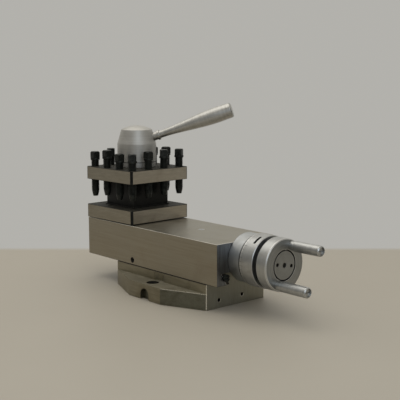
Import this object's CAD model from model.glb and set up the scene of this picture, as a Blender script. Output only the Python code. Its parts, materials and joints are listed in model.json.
"""Looks of the lathe top slide and its four-way tool post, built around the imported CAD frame.

Metres, in the frame's own axes: +X along the slide towards the handwheel, +Z up.
"""

import json
import math

import bmesh
import bpy
from mathutils import Matrix, Vector


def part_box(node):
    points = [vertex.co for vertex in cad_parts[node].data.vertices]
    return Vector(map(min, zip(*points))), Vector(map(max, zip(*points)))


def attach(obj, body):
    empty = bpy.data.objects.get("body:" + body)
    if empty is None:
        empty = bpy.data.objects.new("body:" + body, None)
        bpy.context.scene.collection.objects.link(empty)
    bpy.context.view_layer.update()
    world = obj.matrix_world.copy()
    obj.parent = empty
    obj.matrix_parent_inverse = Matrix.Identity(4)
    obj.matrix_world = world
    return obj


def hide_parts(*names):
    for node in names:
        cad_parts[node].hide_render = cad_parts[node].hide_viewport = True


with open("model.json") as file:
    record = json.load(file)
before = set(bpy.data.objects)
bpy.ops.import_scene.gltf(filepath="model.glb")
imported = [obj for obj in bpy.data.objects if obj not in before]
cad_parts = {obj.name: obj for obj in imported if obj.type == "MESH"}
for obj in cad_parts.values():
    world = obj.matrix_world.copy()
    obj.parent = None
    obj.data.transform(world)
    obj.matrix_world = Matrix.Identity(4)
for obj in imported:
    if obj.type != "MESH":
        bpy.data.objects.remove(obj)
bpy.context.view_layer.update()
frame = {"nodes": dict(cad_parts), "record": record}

MM = 0.001

# ---------------------------------------------------------------- places taken from the frame

BODY_OF = {
    node: body
    for body, nodes in frame["record"]["behaviour"]["bodies"].items()
    for node in nodes
}


def centre(node):
    """Middle of a CAD node's box."""
    low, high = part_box(node)
    return (low + high) / 2


POST_TURN = math.radians(1.8)      # the block's turn from square
LEVER_AZIMUTH = math.radians(42)
LEVER_RISE = math.radians(19.2)
LEVER_Z = 169.4 * MM               # where the lever's axis meets the hub's axis

post_axis = centre("tool_post_block")
screw_line = centre("handwheel")
post_turn_frame = Matrix.Translation((post_axis.x, 0, 0)) @ Matrix.Rotation(POST_TURN, 4, "Z")


def along_x(y, z):
    """Turning frame whose Z lies on the row's X."""
    return Matrix.Translation((0, y, z)) @ Matrix.Rotation(math.pi / 2, 4, "Y")


WHEEL_FRAME = along_x(0, screw_line.z)
HUB_FRAME = Matrix.Translation((post_axis.x, 0, 0))
LEVER_FRAME = (
    Matrix.Translation((post_axis.x, 0, LEVER_Z))
    @ Matrix.Rotation(LEVER_AZIMUTH, 4, "Z")
    @ Matrix.Rotation(math.pi / 2 - LEVER_RISE, 4, "Y")
)


# ---------------------------------------------------------------- materials

class Finish:
    """One material: a Principled shader, with short calls for the nodes that feed it."""

    def __init__(self, name, metallic):
        self.material = bpy.data.materials.new(name)
        self.material.use_nodes = True
        self.nodes = self.material.node_tree.nodes
        self.links = self.material.node_tree.links
        self.shader = self.nodes["Principled BSDF"]
        self.shader.inputs["Metallic"].default_value = metallic
        self.place = self.nodes.new("ShaderNodeTexCoord").outputs["Object"]

    def feed(self, socket, value):
        if isinstance(value, bpy.types.NodeSocket):
            self.links.new(value, socket)
        else:
            socket.default_value = value

    def math(self, operation, a, b=0.0, c=0.0):
        node = self.nodes.new("ShaderNodeMath")
        node.operation = operation
        for socket, value in zip(node.inputs, (a, b, c)):
            self.feed(socket, value)
        return node.outputs[0]

    def stretched(self, x, y, z):
        """The place, with each axis multiplied."""
        node = self.nodes.new("ShaderNodeVectorMath")
        node.operation = "MULTIPLY"
        self.feed(node.inputs[0], self.place)
        node.inputs[1].default_value = (x, y, z)
        return node.outputs[0]

    def noise(self, vector, scale=1.0, detail=2.0, distortion=0.0):
        node = self.nodes.new("ShaderNodeTexNoise")
        self.feed(node.inputs["Vector"], vector)
        node.inputs["Scale"].default_value = scale
        node.inputs["Detail"].default_value = detail
        node.inputs["Distortion"].default_value = distortion
        return node.outputs["Fac"]

    def ranged(self, value, low, high, to_low=0.0, to_high=1.0):
        """value from low..high mapped smoothly to to_low..to_high."""
        node = self.nodes.new("ShaderNodeMapRange")
        node.interpolation_type = "SMOOTHSTEP"
        for name, v in (("Value", value), ("From Min", low), ("From Max", high),
                        ("To Min", to_low), ("To Max", to_high)):
            self.feed(node.inputs[name], v)
        return node.outputs["Result"]

    def blend(self, factor, a, b):
        """Colour a where factor is 0, b where it is 1."""
        node = self.nodes.new("ShaderNodeMix")
        node.data_type = "RGBA"
        self.feed(node.inputs[0], factor)
        self.feed(node.inputs[6], a if isinstance(a, bpy.types.NodeSocket) else (*a, 1))
        self.feed(node.inputs[7], b if isinstance(b, bpy.types.NodeSocket) else (*b, 1))
        return node.outputs[2]

    def rings(self, pitch, seed=0.0):
        """Turning marks about the piece's own Z: a noise of radius and height alone."""
        split = self.nodes.new("ShaderNodeSeparateXYZ")
        self.feed(split.inputs[0], self.place)
        x, y, z = split.outputs
        squares = self.math("ADD", self.math("MULTIPLY", x, x), self.math("MULTIPLY", y, y))
        across = self.math("SQRT", squares)
        join = self.nodes.new("ShaderNodeCombineXYZ")
        self.feed(join.inputs[0], across)
        self.feed(join.inputs[1], z)
        join.inputs[2].default_value = seed * MM
        return self.noise(join.outputs[0], scale=1 / pitch, detail=3)

    def done(self, colour, roughness, height=None, depth=0.02 * MM, strength=0.4):
        self.feed(self.shader.inputs["Base Color"], colour)
        self.feed(self.shader.inputs["Roughness"], roughness)
        if height is not None:
            bump = self.nodes.new("ShaderNodeBump")
            bump.inputs["Strength"].default_value = strength
            bump.inputs["Distance"].default_value = depth
            self.feed(bump.inputs["Height"], height)
            self.feed(self.shader.inputs["Normal"], bump.outputs[0])
        return self.material


def ground_metal(name, dark, light, stain, along=(30, 900, 900), rough=(0.3, 0.45), blotch=22.0,
                 metallic=1.0):
    """Ground or milled flat faces: fine lines along one axis, soft blotches and oil stains."""
    f = Finish(name, metallic)
    lines = f.noise(f.stretched(*along), detail=3)
    fine = f.noise(f.stretched(*(3.3 * a for a in along)), detail=2)
    cloud = f.noise(f.place, scale=blotch, detail=4, distortion=0.6)
    tone = f.math("ADD", f.math("MULTIPLY", lines, 0.45), f.math("MULTIPLY", fine, 0.25))
    tone = f.math("ADD", tone, f.math("MULTIPLY", cloud, 0.3))
    colour = f.blend(f.ranged(tone, 0.34, 0.66), dark, light)
    oil = f.ranged(f.noise(f.place, scale=blotch * 0.6, detail=5, distortion=1.2), 0.52, 0.72, 0.0, 0.55)
    specks = f.ranged(f.noise(f.place, scale=650, detail=2), 0.7, 0.78, 0.0, 0.5)
    colour = f.blend(oil, colour, stain)
    colour = f.blend(specks, colour, tuple(0.35 * c for c in stain))
    rough_map = f.ranged(f.math("ADD", f.math("MULTIPLY", cloud, 0.6), f.math("MULTIPLY", lines, 0.4)),
                         0.35, 0.65, *rough)
    return f.done(colour, rough_map, lines, depth=0.03 * MM, strength=0.35)


def turned_metal(name, dark, light, smudge, pitch=0.7 * MM, rough=(0.26, 0.42), metallic=1.0, seed=0.0,
                 oily_from=None):
    """Turned faces: fine rings about the piece's own axis, with soft smudges. From the height oily_from
    on, the face is dark with oil."""
    f = Finish(name, metallic)
    rings = f.rings(pitch, seed)
    broad = f.rings(pitch * 6, seed + 3)
    cloud = f.noise(f.place, scale=60, detail=4, distortion=0.8)
    tone = f.math("ADD", f.math("MULTIPLY", rings, 0.45), f.math("MULTIPLY", broad, 0.25))
    tone = f.math("ADD", tone, f.math("MULTIPLY", cloud, 0.3))
    colour = f.blend(f.ranged(tone, 0.34, 0.66), dark, light)
    grime = f.ranged(f.noise(f.place, scale=38, detail=5, distortion=1.0), 0.54, 0.74, 0.0, 0.5)
    pits = f.ranged(f.noise(f.place, scale=900, detail=2), 0.72, 0.8, 0.0, 0.5)
    colour = f.blend(grime, colour, smudge)
    colour = f.blend(pits, colour, tuple(0.4 * c for c in smudge))
    if oily_from is not None:
        height = f.nodes.new("ShaderNodeSeparateXYZ")
        f.feed(height.inputs[0], f.place)
        oil = f.ranged(height.outputs[2], oily_from - 0.5 * MM, oily_from, 0.0, 0.85)
        colour = f.blend(oil, colour, tuple(0.2 * c for c in dark))
    rough_map = f.ranged(f.math("ADD", f.math("MULTIPLY", cloud, 0.6), f.math("MULTIPLY", rings, 0.4)),
                         0.35, 0.65, *rough)
    return f.done(colour, rough_map, rings, depth=0.015 * MM, strength=0.3)


def black_oxide(name, dark, light, rough=(0.28, 0.5), metallic=0.4, scratch=0.35):
    """Blackened steel: mottled, with fine paler rubs."""
    f = Finish(name, metallic)
    f.shader.inputs["Specular IOR Level"].default_value = 0.3
    mottle = f.noise(f.place, scale=240, detail=4, distortion=0.5)
    cloud = f.noise(f.place, scale=45, detail=3)
    colour = f.blend(f.ranged(mottle, 0.35, 0.7), dark, light)
    rubs = f.ranged(f.noise(f.stretched(900, 160, 420), detail=3, distortion=0.4), 0.62, 0.74, 0.0, scratch)
    colour = f.blend(rubs, colour, tuple(3.2 * c for c in light))
    rough_map = f.ranged(f.math("ADD", f.math("MULTIPLY", mottle, 0.5), f.math("MULTIPLY", cloud, 0.5)),
                         0.36, 0.64, *rough)
    return f.done(colour, rough_map, mottle, depth=0.02 * MM, strength=0.35)


SLIDE = ground_metal("slide ground iron", (0.305, 0.275, 0.217), (0.365, 0.333, 0.267), (0.265, 0.225, 0.17),
                     along=(14, 500, 500))
SLIDE_TOP = ground_metal("slide ground top", (0.29, 0.27, 0.22), (0.36, 0.335, 0.28), (0.22, 0.19, 0.14),
                         along=(500, 30, 500), rough=(0.34, 0.48))
SLIDE_EDGE = ground_metal("slide worn edge", (0.74, 0.71, 0.63), (0.9, 0.87, 0.79), (0.6, 0.55, 0.45),
                          rough=(0.3, 0.4), metallic=0.5)
SLIDE_END = ground_metal("slide milled end", (0.12, 0.126, 0.132), (0.24, 0.248, 0.26), (0.08, 0.075, 0.07),
                         along=(420, 420, 30), rough=(0.3, 0.5))
BASE = ground_metal("base milled iron", (0.23, 0.21, 0.155), (0.32, 0.295, 0.222), (0.17, 0.145, 0.095),
                    along=(22, 420, 420), rough=(0.34, 0.5), blotch=26)
BASE_TOP = ground_metal("flange top", (0.22, 0.20, 0.15), (0.32, 0.295, 0.225), (0.13, 0.11, 0.07),
                        along=(420, 30, 420), rough=(0.45, 0.6), blotch=30, metallic=0.7)
BASE_SHADED = ground_metal("base oily iron", (0.145, 0.145, 0.115), (0.21, 0.207, 0.165), (0.09, 0.085, 0.06),
                           along=(22, 420, 420), rough=(0.38, 0.55), blotch=26)
BASE_EDGE = ground_metal("base worn edge", (0.7, 0.68, 0.6), (0.9, 0.88, 0.8), (0.5, 0.45, 0.35),
                         rough=(0.2, 0.3))
BASE_END = ground_metal("base milled end", (0.27, 0.263, 0.218), (0.35, 0.342, 0.285), (0.16, 0.155, 0.12),
                        along=(420, 420, 40), rough=(0.42, 0.58))
PLATE = ground_metal("post ground side", (0.28, 0.255, 0.203), (0.37, 0.338, 0.275), (0.22, 0.19, 0.14),
                     along=(60, 60, 520), rough=(0.38, 0.52), blotch=34)
PLATE_END = ground_metal("post ground end", (0.40, 0.365, 0.30), (0.52, 0.477, 0.40), (0.32, 0.28, 0.215),
                         along=(60, 60, 520), rough=(0.38, 0.52), blotch=34)
GIB = ground_metal("ground gib steel", (0.3, 0.28, 0.24), (0.5, 0.48, 0.43), (0.2, 0.17, 0.12))
OILED = black_oxide("oil-darkened", (0.010, 0.009, 0.007), (0.035, 0.031, 0.024), rough=(0.45, 0.65),
                    metallic=0.1)
NECK = black_oxide("oily wheel neck", (0.028, 0.029, 0.036), (0.075, 0.078, 0.09), rough=(0.35, 0.5),
                   metallic=0.6)
BLACK = black_oxide("black oxide", (0.0035, 0.004, 0.0035), (0.0105, 0.011, 0.0095), metallic=0.3)
BLACK_TOP = black_oxide("oily black ledge", (0.016, 0.015, 0.011), (0.05, 0.047, 0.036), rough=(0.6, 0.75),
                        metallic=0.0)
BLACK_EDGE = black_oxide("black oxide edge", (0.007, 0.0075, 0.007), (0.022, 0.022, 0.019), scratch=0.5)
SCREW_BLACK = black_oxide("screw black", (0.0065, 0.0075, 0.0065), (0.02, 0.023, 0.02), rough=(0.3, 0.46),
                          metallic=0.25)
SCREW_WORN = black_oxide("screw edge", (0.016, 0.018, 0.016), (0.05, 0.054, 0.048), rough=(0.25, 0.4),
                         metallic=0.5, scratch=0.6)
SATIN = turned_metal("satin turned steel", (0.40, 0.405, 0.40), (0.52, 0.523, 0.515), (0.31, 0.295, 0.265),
                     rough=(0.32, 0.45))
SATIN_FACE = turned_metal("faced steel", (0.27, 0.277, 0.275), (0.37, 0.378, 0.373), (0.21, 0.205, 0.185),
                          rough=(0.34, 0.48), seed=5)
BRACKET = turned_metal("bracket turned iron", (0.40, 0.414, 0.42), (0.50, 0.513, 0.52), (0.31, 0.31, 0.30),
                       rough=(0.36, 0.5), seed=2, oily_from=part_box("graduated_dial")[0].x - 2.4 * MM)
SATIN_EDGE = turned_metal("satin edge", (0.60, 0.60, 0.59), (0.76, 0.76, 0.74), (0.45, 0.43, 0.40),
                          rough=(0.32, 0.42))
HUB = turned_metal("hub satin steel", (0.43, 0.42, 0.395), (0.54, 0.53, 0.505), (0.38, 0.355, 0.31),
                   rough=(0.46, 0.58), metallic=0.85, seed=11)
LEVER = turned_metal("lever polished steel", (0.40, 0.395, 0.375), (0.52, 0.513, 0.49), (0.32, 0.30, 0.26),
                     rough=(0.34, 0.46), seed=8)
SPRING = turned_metal("spring wire", (0.18, 0.18, 0.18), (0.34, 0.33, 0.31), (0.12, 0.10, 0.08))
BRONZE = turned_metal("bronze", (0.42, 0.24, 0.10), (0.62, 0.40, 0.18), (0.25, 0.15, 0.07))


# ---------------------------------------------------------------- mesh work

SHARP = math.radians(34)
ROUND_SHARP = math.radians(12)     # on turned pieces, so that a shallow cone keeps its edge


def add_piece(name, mesh, node, materials, turning_frame=None):
    """A new piece from a mesh in the row frame. It stands for a CAD node and rides on its body."""
    place = turning_frame or Matrix.Identity(4)
    mesh.transform(place.inverted())
    for material in materials:
        mesh.materials.append(material)
    piece = bpy.data.objects.new(name, mesh)
    bpy.context.scene.collection.objects.link(piece)
    piece.matrix_world = place
    even = piece.modifiers.new("even shading", "WEIGHTED_NORMAL")
    even.weight = 100
    even.keep_sharp = True
    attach(piece, BODY_OF[node])
    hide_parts(node)
    return piece


def smooth_but_sharp(bm, sharp=SHARP):
    for face in bm.faces:
        face.smooth = True
    for edge in bm.edges:
        edge.smooth = len(edge.link_faces) == 2 and edge.calc_face_angle(0) < sharp


def finished(node, materials, width=0.3 * MM, zone=None, edge_zone=None, turning_frame=None, sharp=SHARP):
    """A CAD node's mesh with its outer edges broken. The last material is the broken edges' own.
    zone(normal, middle), in the row frame, picks which material a face takes, and edge_zone which
    one a broken edge takes, or None to leave it."""
    mesh = frame["nodes"][node].data.copy()
    mesh.materials.clear()
    bm = bmesh.new()
    bm.from_mesh(mesh)
    bmesh.ops.remove_doubles(bm, verts=bm.verts, dist=0.002 * MM)
    bmesh.ops.dissolve_limit(bm, angle_limit=math.radians(0.8), verts=bm.verts, edges=bm.edges)
    bm.normal_update()
    for face in bm.faces:
        face.material_index = zone(face.normal, face.calc_center_median()) if zone else 0
    outer = [e for e in bm.edges if len(e.link_faces) == 2 and e.calc_face_angle_signed(0) > sharp]
    last = len(materials) - 1
    bmesh.ops.bevel(bm, geom=outer, offset=width, offset_type="OFFSET", segments=2, profile=0.5,
                    affect="EDGES", clamp_overlap=False, material=last)
    bm.normal_update()
    if edge_zone:
        for face in bm.faces:
            if face.material_index == last:
                face.material_index = edge_zone(face.normal, face.calc_center_median())
    smooth_but_sharp(bm, sharp)
    bm.to_mesh(mesh)
    bm.free()
    return add_piece(f"{node}_finished", mesh, node, materials, turning_frame)


def inside_upright(middle, x, y, radius):
    """True if a face lies within an upright hole."""
    return (middle.x - x) ** 2 + (middle.y - y) ** 2 < radius ** 2


# ---------------------------------------------------------------- castings and post

base_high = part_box("base_casting")[1]
slide_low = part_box("top_slide")[0]
BOLT_Y = 53.5 * MM
BOLT_R = 7.2 * MM
RELIEF_R = 13.2 * MM
NOTCH_HALF = 7.7 * MM
NOTCH_H = 13.3 * MM
NOTCH_DEPTH = 5.1 * MM
FLANGE_Z = 18.4 * MM
END_HOLES_FROM_X = 70 * MM         # the end holes lie beyond this, and lower and nearer in than these
END_HOLES_TOP = 12 * MM
END_HOLES_REACH_Y = 40 * MM
BRIGHT_FROM_X = 26 * MM            # near side: edges are worn bright from here to the wheel
CHANNEL_HALF = 40 * MM             # the slide's channel and tunnel lie within these
CHANNEL_TOP = 70 * MM
LOCK_PLACE = Vector((-51.8 * MM, slide_low.y, 34.4 * MM))
LOCK_REACH_X = (-56 * MM, -47 * MM)
LOCK_DEPTH = 17 * MM
LOCK_TOP = 40 * MM


def base_zone(normal, middle):
    """0 milled sides, 1 milled ends, 2 oil-darkened holes, 3 shaded facets and notches, 4 flange tops."""
    in_bolt_hole = inside_upright(middle, 0, math.copysign(BOLT_Y, middle.y), BOLT_R) and abs(normal.z) < 0.5
    in_notch = (abs(middle.x) < NOTCH_HALF and middle.z < NOTCH_H
                and base_high.y - NOTCH_DEPTH < abs(middle.y) < base_high.y - 0.05 * MM)
    on_end = abs(normal.x) > 0.9 and abs(middle.x) > base_high.x - 0.1 * MM
    deep_in_end = END_HOLES_FROM_X < abs(middle.x) < base_high.x - 0.6 * MM
    in_end_hole = deep_in_end and abs(middle.y) < END_HOLES_REACH_Y and 1 * MM < middle.z < END_HOLES_TOP
    facing_wheel = normal.x > 0.1 and abs(normal.y) > 0.5 and middle.z < FLANGE_Z
    if in_bolt_hole or in_end_hole:
        return 2
    if in_notch or facing_wheel:
        return 3
    if normal.z > 0.9 and abs(middle.z - FLANGE_Z) < 0.2 * MM:
        return 4
    return 1 if on_end else 0


def base_edge_zone(normal, middle):
    """0 like the sides, 2 dark along the slide's bed, 5 bright where a corner catches the light."""
    under_slide = middle.z > slide_low.z - 1 * MM
    relief = inside_upright(middle, 0, math.copysign(BOLT_Y, middle.y), RELIEF_R + 1 * MM)
    if base_zone(normal, middle) == 2 or under_slide:
        return 2
    if relief or normal.z < -0.2 or (middle.x < BRIGHT_FROM_X and middle.y < 0):
        return 0
    return 5


def slide_zone(normal, middle):
    """0 ground sides, 1 milled ends, 2 oil-darkened holes and dovetail, 3 the top."""
    in_channel = abs(middle.y) < CHANNEL_HALF and middle.z < CHANNEL_TOP and abs(normal.x) < 0.9
    near_lock = LOCK_REACH_X[0] < middle.x < LOCK_REACH_X[1] and middle.y < slide_low.y + LOCK_DEPTH
    in_lock_hole = near_lock and middle.z < LOCK_TOP and abs(normal.y) < 0.5 and abs(normal.z) < 0.999
    if in_channel or in_lock_hole:
        return 2
    if normal.z > 0.9:
        return 3
    return 1 if abs(normal.x) > 0.9 else 0


def slide_edge_zone(normal, middle):
    """2 dark with oil along the bottom and round the lock screw, 4 worn bright on top, 0 elsewhere."""
    if middle.z < slide_low.z + 1 * MM or (middle - LOCK_PLACE).length < 5 * MM:
        return 2
    return 4 if normal.z > 0.2 else 0


finished("top_slide", [SLIDE, SLIDE_END, OILED, SLIDE_TOP, SLIDE_EDGE], width=0.45 * MM, zone=slide_zone,
         edge_zone=slide_edge_zone)
finished("base_casting", [BASE, BASE_END, OILED, BASE_SHADED, BASE_TOP, BASE_EDGE], width=0.6 * MM,
         zone=base_zone, edge_zone=base_edge_zone)

HALF_PLATE = 45 * MM


def post_zone(normal, middle):
    """0 ground sides, 1 ground ends, 2 blackened faces, 3 blackened ledges."""
    local = post_turn_frame.inverted() @ middle
    turned = post_turn_frame.to_3x3().inverted() @ normal
    on_rim = max(abs(local.x), abs(local.y)) > HALF_PLATE - 0.2 * MM
    if on_rim and abs(turned.y) > 0.99:
        return 0
    if on_rim and abs(turned.x) > 0.99:
        return 1
    return 3 if normal.z > 0.9 else 2


finished("tool_post_block", [PLATE, PLATE_END, BLACK, BLACK_TOP, BLACK_EDGE], width=0.5 * MM, zone=post_zone,
         turning_frame=post_turn_frame)
finished("gib_strip", [GIB, OILED, OILED], width=0.25 * MM,
         zone=lambda normal, middle: int(abs(normal.x) > 0.9))
for node in ("gib_adjust_screw_front", "gib_adjust_screw_rear"):
    gib_screw = centre(node)
    finished(node, [SCREW_BLACK, SCREW_WORN], width=0.3 * MM, turning_frame=along_x(gib_screw.y, gib_screw.z))
finished("gib_lock_screw", [SCREW_BLACK, SCREW_WORN], width=0.2 * MM)
oil = centre("oil_cup")
finished("oil_cup", [SATIN, SATIN_EDGE], width=0.2 * MM, turning_frame=Matrix.Translation((oil.x, oil.y, 0)))

# ---------------------------------------------------------------- hub, lever and feed

def only_above(height):
    """An edge zone: broken edges over a height take material 0, lower ones the last."""
    return lambda normal, middle: 0 if middle.z > height else 1


def bored():
    """A zone for the nut and the screw's end: 0 outside, 1 front face, 2 within the holes."""
    nut_low, nut_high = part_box("wheel_nut")
    front = nut_high.x
    rim = (nut_high.y - nut_low.y) / 2

    def zone(normal, middle):
        out = math.hypot(middle.y, middle.z - screw_line.z)
        if nut_low.x < middle.x < front - 1 * MM and out < rim - 1 * MM:
            return 2
        return 1 if normal.x > 0.9 else 0

    return zone


RIM_X = 140.3 * MM                 # back of the handwheel's rim
RECESS_R = 16.8 * MM               # recess round the wheel nut


def wheel_zone(normal, middle):
    """0 rim, 1 front face, 2 oily neck and recess."""
    out = math.hypot(middle.y, middle.z - screw_line.z)
    behind_rim = middle.x < RIM_X
    if behind_rim or (out < RECESS_R + 0.1 * MM and abs(normal.x) < 0.9):
        return 2
    return 1 if normal.x > 0.9 else 0


finished("hub_washer", [HUB, OILED], width=0.4 * MM, turning_frame=HUB_FRAME)
finished("lever_hub", [HUB, OILED], width=0.4 * MM, turning_frame=HUB_FRAME, sharp=ROUND_SHARP,
         edge_zone=only_above(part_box("lever_hub")[0].z + 1 * MM))
finished("lever_handle", [LEVER, LEVER], width=0.3 * MM, turning_frame=LEVER_FRAME)
finished("screw_bracket", [BRACKET, OILED], width=0.6 * MM, turning_frame=WHEEL_FRAME)
finished("feed_screw", [GIB, SATIN_FACE, OILED, GIB], width=0.2 * MM, zone=bored(),
         turning_frame=WHEEL_FRAME)
finished("handwheel", [SATIN, SATIN_FACE, NECK, SATIN_EDGE], width=0.4 * MM, zone=wheel_zone,
         turning_frame=WHEEL_FRAME)
finished("wheel_nut", [SATIN, SATIN_FACE, OILED, SATIN_FACE], width=0.3 * MM, zone=bored(),
         turning_frame=WHEEL_FRAME)
for side in ("upper", "lower"):
    grip = centre(f"handle_grip_{side}")
    for node in (f"handle_grip_{side}", f"handle_spindle_{side}"):
        finished(node, [SATIN, SATIN_EDGE], width=0.2 * MM, turning_frame=along_x(grip.y, grip.z))

# ---------------------------------------------------------------- graduated dial

DIAL_BORE_R = 20.06 * MM
DIAL_CHAMFER = 0.6 * MM
BRIGHT_BAND = 1.2 * MM             # worn edge next to the bracket
DIVISIONS = 40                     # one turn of the screw is 4 mm, so each is 0.1 mm
MARK_W = 0.28 * MM
MARK_DEPTH = 0.18 * MM
SHORT_MARK = 3.2 * MM
LONG_MARK = 5.0 * MM
SLOT_W = 3.2 * MM
SLOT_DEPTH = 3 * MM
SLOT_FROM_RIM = 6.5 * MM           # from the dial's outer face to the slot's middle
SLOT_ANGLES = (17, 41)             # degrees from the top, towards -Y
WALL_RUN = 0.03 * MM               # how far an engraved wall leans
COLUMNS = 160                      # even columns round the dial, besides those at the cuts
CLOSE = 1e-6                       # how near counts as on a cut's edge


def dial_cuts(radius, length):
    """Engraved lines and the slot, as (from angle, to angle, from height, to height, depth)."""
    cuts = []
    half = MARK_W / 2 / radius
    for k in range(DIVISIONS):
        angle = 2 * math.pi * (k + 0.5) / DIVISIONS
        reach = LONG_MARK if k % 5 == 0 else SHORT_MARK
        cuts.append((angle - half, angle + half, -1, reach, MARK_DEPTH))
    start, end = (math.pi + math.radians(a) for a in SLOT_ANGLES)
    middle = length - SLOT_FROM_RIM
    cuts.append((start, end, middle - SLOT_W / 2, middle + SLOT_W / 2, SLOT_DEPTH))
    return cuts


def graduated_dial():
    """The dial as a grid of columns round the rim, with rows at the height of each cut."""
    low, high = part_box("graduated_dial")
    length = high.x - low.x
    radius = (high.y - low.y) / 2
    cuts = dial_cuts(radius, length)
    lean = WALL_RUN / radius
    angles = {round(2 * math.pi * i / COLUMNS, 6) for i in range(COLUMNS)}
    heights = {DIAL_CHAMFER, DIAL_CHAMFER + BRIGHT_BAND, length - DIAL_CHAMFER}
    for a0, a1, z0, z1, _ in cuts:
        angles |= {round(a, 6) for a in (a0 - lean, a0, a1, a1 + lean)}
        heights |= {round(z, 7) for z in (z0 - WALL_RUN, z0, z1, z1 + WALL_RUN) if z > DIAL_CHAMFER}
    angles = sorted(angles)
    heights = sorted(heights)

    def depth(angle, z):
        inside = [
            cut_depth for a0, a1, z0, z1, cut_depth in cuts
            if a0 - CLOSE <= angle <= a1 + CLOSE and z0 - CLOSE <= z <= z1 + CLOSE
        ]
        return max(inside, default=0)

    bm = bmesh.new()
    columns = []
    for angle in angles:
        rim = [(radius - depth(angle, z), z, depth(angle, z) > 0) for z in heights]
        loop = [(DIAL_BORE_R, 0, False), (radius - DIAL_CHAMFER, 0, False), *rim,
                (radius - DIAL_CHAMFER, length, False), (DIAL_BORE_R, length, False)]
        c, s = math.cos(angle), math.sin(angle)
        columns.append([(bm.verts.new((r * c, r * s, z)), cut) for r, z, cut in loop])
    for a, b in zip(columns, columns[1:] + columns[:1]):
        for k in range(len(a)):
            m = (k + 1) % len(a)
            corners = (a[k], b[k], b[m], a[m])
            face = bm.faces.new([v for v, _ in corners])
            dark = k == 1 or all(cut for _, cut in corners)
            face.material_index = 1 if dark else (2 if k == 2 else 0)
    bmesh.ops.recalc_face_normals(bm, faces=bm.faces)
    smooth_but_sharp(bm)
    mesh = bpy.data.meshes.new("graduated_dial")
    bm.to_mesh(mesh)
    bm.free()
    place = Matrix.Translation((low.x, 0, screw_line.z)) @ Matrix.Rotation(math.pi / 2, 4, "Y")
    mesh.transform(place)
    add_piece("graduated_dial_finished", mesh, "graduated_dial", [SATIN, OILED, SATIN_EDGE], place)


graduated_dial()

# ---------------------------------------------------------------- clamp screws

THREAD_PITCH = 1.5 * MM
THREAD_DEPTH = 0.6 * MM
SCREW_R = 4.92 * MM
HEAD_FLAT = 9 * MM
HEAD_H = 8 * MM
COLLAR_R = 5.75 * MM
COLLAR_H = 2.5 * MM
TIP_R = 3.1 * MM
TIP_H = 8 * MM
AROUND = 40                # columns round a screw, a multiple of 8 so that one meets each corner
ROWS_PER_TURN = 4          # crest, crest, root, root
CLAMP_SCREWS = [f"clamp_screw_{k:02d}" for k in range(1, 13)]


def ring_faces(bm, rings):
    """Closed skin through rings of equal length, capped at both ends."""
    count = len(rings[0])
    for upper, lower in zip(rings, rings[1:]):
        for i in range(count):
            j = (i + 1) % count
            bm.faces.new((upper[i], lower[i], lower[j], upper[j]))
    bm.faces.new(rings[0])
    bm.faces.new(tuple(reversed(rings[-1])))


def head_radius(angle, z):
    """Distance to the head's surface: a square with turned corners and a turned top chamfer."""
    quarter = (angle + math.pi / 4) % (math.pi / 2) - math.pi / 4
    square = HEAD_FLAT / 2 / math.cos(quarter)
    corner = 0.655 * HEAD_FLAT
    chamfer = HEAD_FLAT * (0.5 + 0.16 * min(1, -z / (1.3 * MM)))
    return min(square, corner, chamfer)


def add_head(bm):
    """Square head and round collar, with the head's top at z = 0."""
    angles = [2 * math.pi * i / AROUND for i in range(AROUND)]

    def ring(z, radius_at):
        return [bm.verts.new((radius_at(a) * math.cos(a), radius_at(a) * math.sin(a), z)) for a in angles]

    top_rows = [-0.05, -0.25, -0.5, -0.8, -1.1, -1.4, -2.2]
    rows = [z * MM for z in top_rows] + [-HEAD_H + 0.3 * MM, -HEAD_H]
    rings = [ring(0, lambda a: 0.96 * head_radius(a, 0))]
    for z in rows:
        rings.append(ring(z, lambda a: head_radius(a, z)))
    z0 = -HEAD_H
    collar = [(COLLAR_R - 0.5 * MM, z0), (COLLAR_R - 0.15 * MM, z0 - 0.15 * MM), (COLLAR_R, z0 - 0.5 * MM),
              (COLLAR_R, z0 - COLLAR_H + 0.5 * MM), (COLLAR_R - 0.15 * MM, z0 - COLLAR_H + 0.15 * MM),
              (COLLAR_R - 0.5 * MM, z0 - COLLAR_H)]
    for r, z in collar:
        rings.append(ring(z, lambda a: r))
    ring_faces(bm, rings)


def add_thread(bm, length):
    """Threaded shank from inside the collar to the tapered tip, its rows following the helix."""
    z_top = -HEAD_H - COLLAR_H + 0.6 * MM
    z_end = -length
    rows = int((z_top - z_end) / THREAD_PITCH * ROWS_PER_TURN) + ROWS_PER_TURN + 1
    profile = [0, 0, THREAD_DEPTH, THREAD_DEPTH]
    grid = []
    for k in range(rows):
        ring = []
        for i in range(AROUND):
            a = 2 * math.pi * i / AROUND
            z = z_top + THREAD_PITCH - THREAD_PITCH * (k / ROWS_PER_TURN + i / AROUND)
            z = min(z_top, max(z_end, z))
            r = SCREW_R - profile[k % ROWS_PER_TURN]
            taper = TIP_R + (SCREW_R - TIP_R) * (z - z_end) / TIP_H
            r = min(r, taper)
            ring.append(bm.verts.new((r * math.cos(a), r * math.sin(a), z)))
        grid.append(ring)
    for k in range(rows - 1):
        for i in range(AROUND):
            if i < AROUND - 1:
                bm.faces.new((grid[k][i], grid[k + 1][i], grid[k + 1][i + 1], grid[k][i + 1]))
            elif k + 1 + ROWS_PER_TURN < rows:
                low = k + ROWS_PER_TURN
                bm.faces.new((grid[low][0], grid[k][i], grid[k + 1][i], grid[low + 1][0]))


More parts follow.
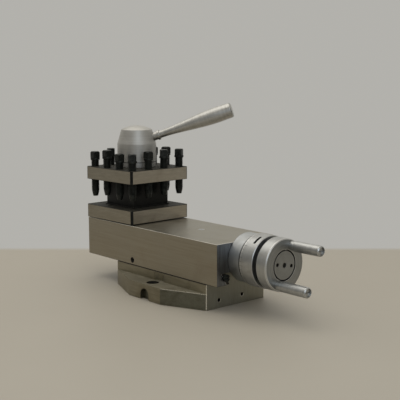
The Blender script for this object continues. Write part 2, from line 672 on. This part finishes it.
def clamp_screw(node):
    """One screw, turned as far about its axis as its height in the thread asks."""
    low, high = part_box(node)
    axis = (low + high) / 2
    lift = high.z - min(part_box(n)[1].z for n in CLAMP_SCREWS)
    place = Matrix.Translation((axis.x, axis.y, high.z)) @ Matrix.Rotation(
        POST_TURN + 2 * math.pi * lift / THREAD_PITCH, 4, "Z")
    bm = bmesh.new()
    add_head(bm)
    add_thread(bm, high.z - low.z)
    bmesh.ops.remove_doubles(bm, verts=bm.verts, dist=0.001 * MM)
    bmesh.ops.dissolve_degenerate(bm, edges=bm.edges, dist=0.001 * MM)
    bmesh.ops.holes_fill(bm, edges=[e for e in bm.edges if e.is_boundary])
    bmesh.ops.recalc_face_normals(bm, faces=bm.faces)
    smooth_but_sharp(bm)
    mesh = bpy.data.meshes.new(node)
    bm.to_mesh(mesh)
    bm.free()
    mesh.transform(place)
    add_piece(f"{node}_finished", mesh, node, [SCREW_BLACK, SCREW_WORN], place)


for node in CLAMP_SCREWS:
    clamp_screw(node)

# ---------------------------------------------------------------- CAD nodes left as they are

KEPT = {
    BRONZE: ["feed_nut", "thrust_washer_inner", "thrust_washer_outer"],
    SCREW_BLACK: ["feed_nut_screw", "bracket_screws", "wheel_key"],
    GIB: ["tool_post_stud", "index_pin", "bearing_retainer"],
    SPRING: ["index_spring", "lift_spring", "dial_spring"],
}
for material, nodes in KEPT.items():
    for node in nodes:
        mesh = frame["nodes"][node].data
        mesh.materials.clear()
        mesh.materials.append(material)

# ---------------------------------------------------------------- camera, light and floor

LENS = 77.36
CAMERA_PLACE = Vector((0.75545, -0.64336, 0.25462))
CAMERA_FORWARD = Vector((-0.74423, 0.65175, -0.14608))

camera_data = bpy.data.cameras.new("camera")
camera_data.lens = LENS
camera_data.sensor_width = 36
camera = bpy.data.objects.new("camera", camera_data)
camera.location = CAMERA_PLACE
camera.rotation_euler = CAMERA_FORWARD.to_track_quat("-Z", "Y").to_euler()
bpy.context.scene.collection.objects.link(camera)
bpy.context.scene.camera = camera
bpy.context.scene.view_settings.view_transform = "Standard"

MIDDLE = Vector((0, 0, 0.1))       # what the lights point at
ahead = Vector((CAMERA_FORWARD.x, CAMERA_FORWARD.y, 0)).normalized()
right = Vector((ahead.y, -ahead.x, 0))


def soft_light(name, place, size, power, colour):
    data = bpy.data.lights.new(name, "AREA")
    data.shape = "DISK"
    data.size = size
    data.energy = power
    data.color = colour
    light = bpy.data.objects.new(name, data)
    light.location = place
    light.rotation_euler = (MIDDLE - place).to_track_quat("-Z", "Y").to_euler()
    bpy.context.scene.collection.objects.link(light)


KEY_PLACE = MIDDLE - 0.25 * right + 0.2 * ahead + Vector((0, 0, 1.1))
FILL_PLACE = MIDDLE - 1.1 * ahead + 0.25 * right + Vector((0, 0, 0.5))
soft_light("key", KEY_PLACE, size=1.3, power=4.4, colour=(1.0, 0.97, 0.91))
soft_light("cool fill", FILL_PLACE, size=0.9, power=2.6, colour=(0.80, 0.90, 1.0))

WALL = (0.448, 0.440, 0.412)
FLOOR = (0.445, 0.408, 0.345)
FLOOR_EDGE = 1.234         # how far ahead of the camera the floor runs into the backdrop's tone
FADE_FROM = 0.45           # how far out the floor starts to fade into that tone all round
FADE_TO = 1.5
BRIGHT_SIDE = Vector((-0.80, 0.60, 0.0))
DARK_ROOM = (0.095, 0.092, 0.085, 1)
LIT_WALL = (0.56, 0.55, 0.51, 1)
CEILING = (0.71, 0.69, 0.635, 1)


def make_world():
    world = bpy.data.worlds.new("studio")
    world.use_nodes = True
    nodes, links = world.node_tree.nodes, world.node_tree.links
    background = nodes["Background"]
    seen = nodes.new("ShaderNodeBackground")
    seen.inputs["Color"].default_value = (*WALL, 1)
    place = nodes.new("ShaderNodeTexCoord")
    split = nodes.new("ShaderNodeSeparateXYZ")
    links.new(place.outputs["Generated"], split.inputs[0])
    side = nodes.new("ShaderNodeVectorMath")
    side.operation = "DOT_PRODUCT"
    side.inputs[1].default_value = BRIGHT_SIDE
    links.new(place.outputs["Generated"], side.inputs[0])
    far_side = nodes.new("ShaderNodeMapRange")
    far_side.interpolation_type = "SMOOTHSTEP"
    far_side.inputs["From Min"].default_value = -0.2
    far_side.inputs["From Max"].default_value = 0.95
    links.new(side.outputs["Value"], far_side.inputs["Value"])
    level = nodes.new("ShaderNodeMix")
    level.data_type = "RGBA"
    level.inputs[6].default_value = DARK_ROOM
    level.inputs[7].default_value = LIT_WALL
    links.new(far_side.outputs["Result"], level.inputs[0])
    height = nodes.new("ShaderNodeMapRange")
    height.inputs["From Min"].default_value = 0.1
    height.inputs["From Max"].default_value = 0.9
    links.new(split.outputs["Z"], height.inputs["Value"])
    sky = nodes.new("ShaderNodeMix")
    sky.data_type = "RGBA"
    sky.inputs[7].default_value = CEILING
    links.new(height.outputs["Result"], sky.inputs[0])
    links.new(level.outputs[2], sky.inputs[6])
    links.new(sky.outputs[2], background.inputs["Color"])
    path = nodes.new("ShaderNodeLightPath")
    choose = nodes.new("ShaderNodeMixShader")
    links.new(path.outputs["Is Camera Ray"], choose.inputs[0])
    links.new(background.outputs[0], choose.inputs[1])
    links.new(seen.outputs[0], choose.inputs[2])
    links.new(choose.outputs[0], nodes["World Output"].inputs["Surface"])
    bpy.context.scene.world = world


def make_floor():
    bm = bmesh.new()
    bmesh.ops.create_circle(bm, cap_ends=True, segments=96, radius=2.4)
    mesh = bpy.data.meshes.new("floor")
    bm.to_mesh(mesh)
    bm.free()
    f = Finish("floor", 0.0)
    grain = f.noise(f.place, scale=9, detail=4)
    fine = f.noise(f.place, scale=700, detail=2)
    colour = f.blend(grain, tuple(0.97 * c for c in FLOOR), tuple(1.03 * c for c in FLOOR))
    f.done(colour, 0.55, fine, depth=0.03 * MM, strength=0.2)
    backdrop = f.nodes.new("ShaderNodeEmission")
    backdrop.inputs["Color"].default_value = (*WALL, 1)
    reach = f.nodes.new("ShaderNodeVectorMath")
    reach.operation = "DOT_PRODUCT"
    reach.inputs[1].default_value = ahead
    f.feed(reach.inputs[0], f.place)
    edge = FLOOR_EDGE + CAMERA_PLACE.dot(ahead)
    behind = f.ranged(reach.outputs["Value"], edge - 12 * MM, edge + 12 * MM)
    spread = f.nodes.new("ShaderNodeVectorMath")
    spread.operation = "LENGTH"
    f.feed(spread.inputs[0], f.place)
    factor = f.math("MAXIMUM", behind, f.ranged(spread.outputs["Value"], FADE_FROM, FADE_TO))
    mix = f.nodes.new("ShaderNodeMixShader")
    f.feed(mix.inputs[0], factor)
    f.links.new(f.shader.outputs[0], mix.inputs[1])
    f.links.new(backdrop.outputs[0], mix.inputs[2])
    f.links.new(mix.outputs[0], f.nodes["Material Output"].inputs["Surface"])
    mesh.materials.append(f.material)
    floor = bpy.data.objects.new("floor", mesh)
    floor.location.z = -0.05 * MM
    bpy.context.scene.collection.objects.link(floor)


make_world()
make_floor()
